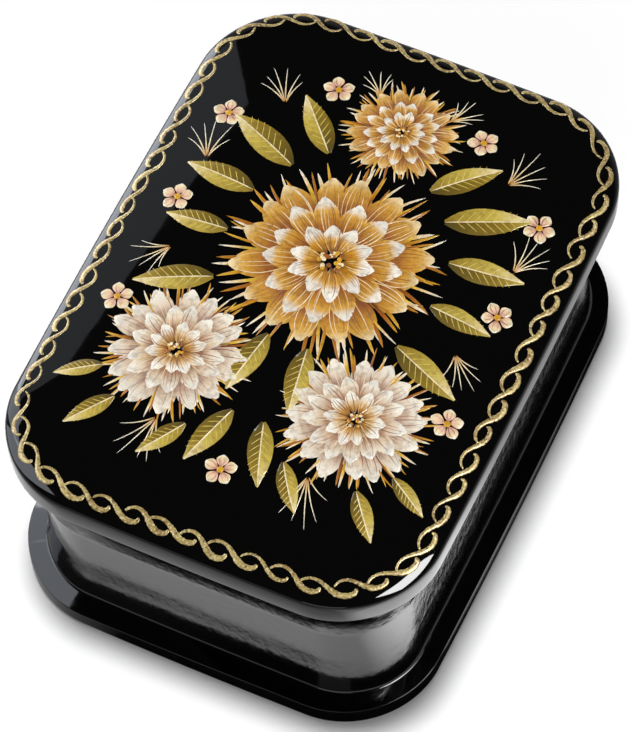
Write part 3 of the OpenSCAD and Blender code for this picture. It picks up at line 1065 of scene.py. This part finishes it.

# %% [markdown]
# The wall and the rim mirror the table close to the box, so how bright it is there draws the wall's
# gray bands. In mirrors the table is dark and shows a glow instead, and light and shade are painted
# into that glow: a painted contact shadow where it meets the box, widest at the near side and lighter
# at the left, a painted pool of light at the near right, painted shade that makes the far right a
# third dimmer, and a painted fade of the near side with distance. All of this is fixed to places on
# the table.

# %% Painted light and shade in the table's glow for reflections
# These fields place the painted light and shade in the table's glow.
# Where a field begins and ends, in metres east (+x) or north (+y), and its values there if not 0 and 1
LEFT_LIGHT = (-0.024, -0.012, 0.35, 0)
NEAR_DIM = (-0.0615, -0.055, 0.55, 1)
FAR_OUT_DIM = (-0.12, -0.09, -0.3, 0)
POOL_EAST = (0.0305, 0.038)
POOL_NORTH = (-0.030, 0.005, 1, 0)
BESIDE_EAST = (0.020, 0.033)
BESIDE_NORTH = (-0.010, 0.010)
SHADOW_NARROWS = (-0.034, -0.026, 0, 1.2 * mm)
CONTACT_SHADOW = (1.5 * mm, 2.5 * mm)
POOL_GAIN = 1.6
BESIDE_LOSS = 0.35
CAMERA_LIFT = 0.08

white = new_finish("table_white")
seen_direct = white.node("LightPath", out="Is Camera Ray")
seen_mirrored = white.node("LightPath", out="Is Glossy Ray")
seen_through = white.node("LightPath", out="Is Transmission Ray")
place = white.node("TexCoord", out="Object")
east = white.node("SeparateXYZ", {}, {0: place}, out="X")
north = white.node("SeparateXYZ", {}, {0: place}, out="Y")
painted_left_light = east.between(*LEFT_LIGHT)
painted_falloff = north.between(*NEAR_DIM) + north.between(*FAR_OUT_DIM)
painted_pool = east.between(*POOL_EAST) * north.between(*POOL_NORTH)
painted_shade_beside = east.between(*BESIDE_EAST) * north.between(*BESIDE_NORTH)
folded = white.node("VectorMath", {"operation": "ABSOLUTE"}, {0: place})
core = (half_x - corner_r + bow_long, half_y - corner_r + bow_short, 1)
out_of_core = white.node("VectorMath", {"operation": "SUBTRACT"}, {0: folded, 1: core})
outward = white.node("VectorMath", {"operation": "MAXIMUM"}, {0: out_of_core, 1: (0, 0, 0)})
distance_out = white.node("VectorMath", {"operation": "LENGTH"}, {0: outward}, out="Value")
beyond = distance_out - (corner_r - board_in) + north.between(*SHADOW_NARROWS)
# The painted contact shadow: 0 where the table meets the box, 1 clear of it, and never below 0.35 at
# the left.
outside_painted_shadow = beyond.between(*CONTACT_SHADOW)
outside_painted_shadow = outside_painted_shadow.math("MAXIMUM", outside_painted_shadow, painted_left_light)
# The glow that mirrors show is painted light, with its pool and shadows painted in; the table is no
# lamp.
mirrored_painted_light = (painted_pool * POOL_GAIN + 1) * (1 - painted_shade_beside * BESIDE_LOSS) * painted_falloff * outside_painted_shadow
# For mirrors the table's own colour is nearly black, so only the painted glow shows there.
table_mesh.materials.append(white.surface({
    "Base Color": white.mixed(seen_mirrored, (0.88, 0.88, 0.88, 1), (0.02, 0.02, 0.02, 1)),
    "Roughness": 0.9,
    "Specular IOR Level": 0.0,
    "Emission Color": (1, 1, 1, 1),
    "Emission Strength": CAMERA_LIFT * seen_direct + mirrored_painted_light * (seen_mirrored + seen_through),
}))
print("the table's glow in reflections takes", len(white.tree.nodes), "nodes")

# %% [markdown]
# Above a white horizon the studio is first a gray haze and then dark, or the lacquer would turn gray.

# %% World
HORIZON_WHITE = (0.09, 0.16)
HAZE_TOP = (0.40, 0.62)
HAZE_GRAY = (0.38, 0.38, 0.39, 1)
STUDIO_DARK = (0.018, 0.018, 0.019, 1)
world = bpy.data.worlds.new("studio")
bpy.context.scene.world = world
studio = Finish(world)
direction = studio.node("TexCoord", out="Generated")
height = studio.node("SeparateXYZ", {}, {0: direction}, out="Z")
haze = studio.mixed(height.between(*HAZE_TOP), HAZE_GRAY, STUDIO_DARK)
sky = studio.mixed(height.between(*HORIZON_WHITE), (1, 1, 1, 1), haze)
glow = studio.node("Background", {}, {"Color": sky, "Strength": 1.0})
studio.node("OutputWorld", {}, {"Surface": glow})
print("the studio is white up to a height of", HORIZON_WHITE[0], "and dark above", HAZE_TOP[1])

# %% [markdown]
# Lacquer and paint ask for different light. The paint and the table want one broad soft light from
# above, with a short shadow. The lacquer wants darkness around it, with a few cards that it mirrors.
# So the broad light is hidden from mirrors. The card high on the right gives the crescent of glare on
# the lid's near corner. The four at the left draw the gray band along the lid's left roll and the
# slate gray ledge below it. The faint one in front is the only card that also lights the paint.


# %% Lamps
def aimed(name, lamp, azimuth, elevation, away):
    """Hangs a lamp in a direction, as seen from the box, and turns it to the box."""
    made = bpy.data.objects.new(name, lamp)
    a, e = math.radians(azimuth), math.radians(elevation)
    outward = Vector((math.sin(a) * math.cos(e), -math.cos(a) * math.cos(e), math.sin(e)))
    made.location = outward * away
    made.rotation_euler = outward.to_track_quat("Z", "Y").to_euler()
    made.visible_camera = False
    bpy.context.scene.collection.objects.link(made)
    return made


def card(name, azimuth, elevation, width, height, radiance, colour=(1, 1, 1)):
    """A rectangle one metre away that is set by the brightness a mirror shows."""
    lamp = bpy.data.lights.new(name, "AREA")
    lamp.shape, lamp.size, lamp.size_y = "RECTANGLE", width, height
    lamp.energy = radiance * math.pi * width * height
    lamp.color = colour
    print(name, "%.1f W" % lamp.energy)
    return aimed(name, lamp, azimuth, elevation, 1.0)


overhead = bpy.data.lights.new("overhead", "SUN")
overhead.angle = math.radians(8)
overhead.energy = 2.9
aimed("overhead", overhead, -135, 86.5, 1.5).visible_glossy = False
card("card_key", 103, 65, 0.46, 0.30, 26).visible_diffuse = False
SLATE = (0.93, 0.98, 1.08)
# Name, azimuth, elevation (degrees), width, height (m) and brightness in a mirror
LEFT_CARDS = [
    ("card_left", -80, 41, 0.43, 0.90, 3.5),
    ("card_left_middle", -105.8, 36, 0.25, 0.69, 3.5),
    ("card_left_low", -121.7, 23, 0.30, 0.42, 7.5),
    ("card_left_dim", -129.5, 42, 0.31, 0.25, 0.6),
]
for row in LEFT_CARDS:
    card(*row, SLATE).visible_diffuse = False
card("card_front", 10, 38, 0.5, 0.3, 1.4)
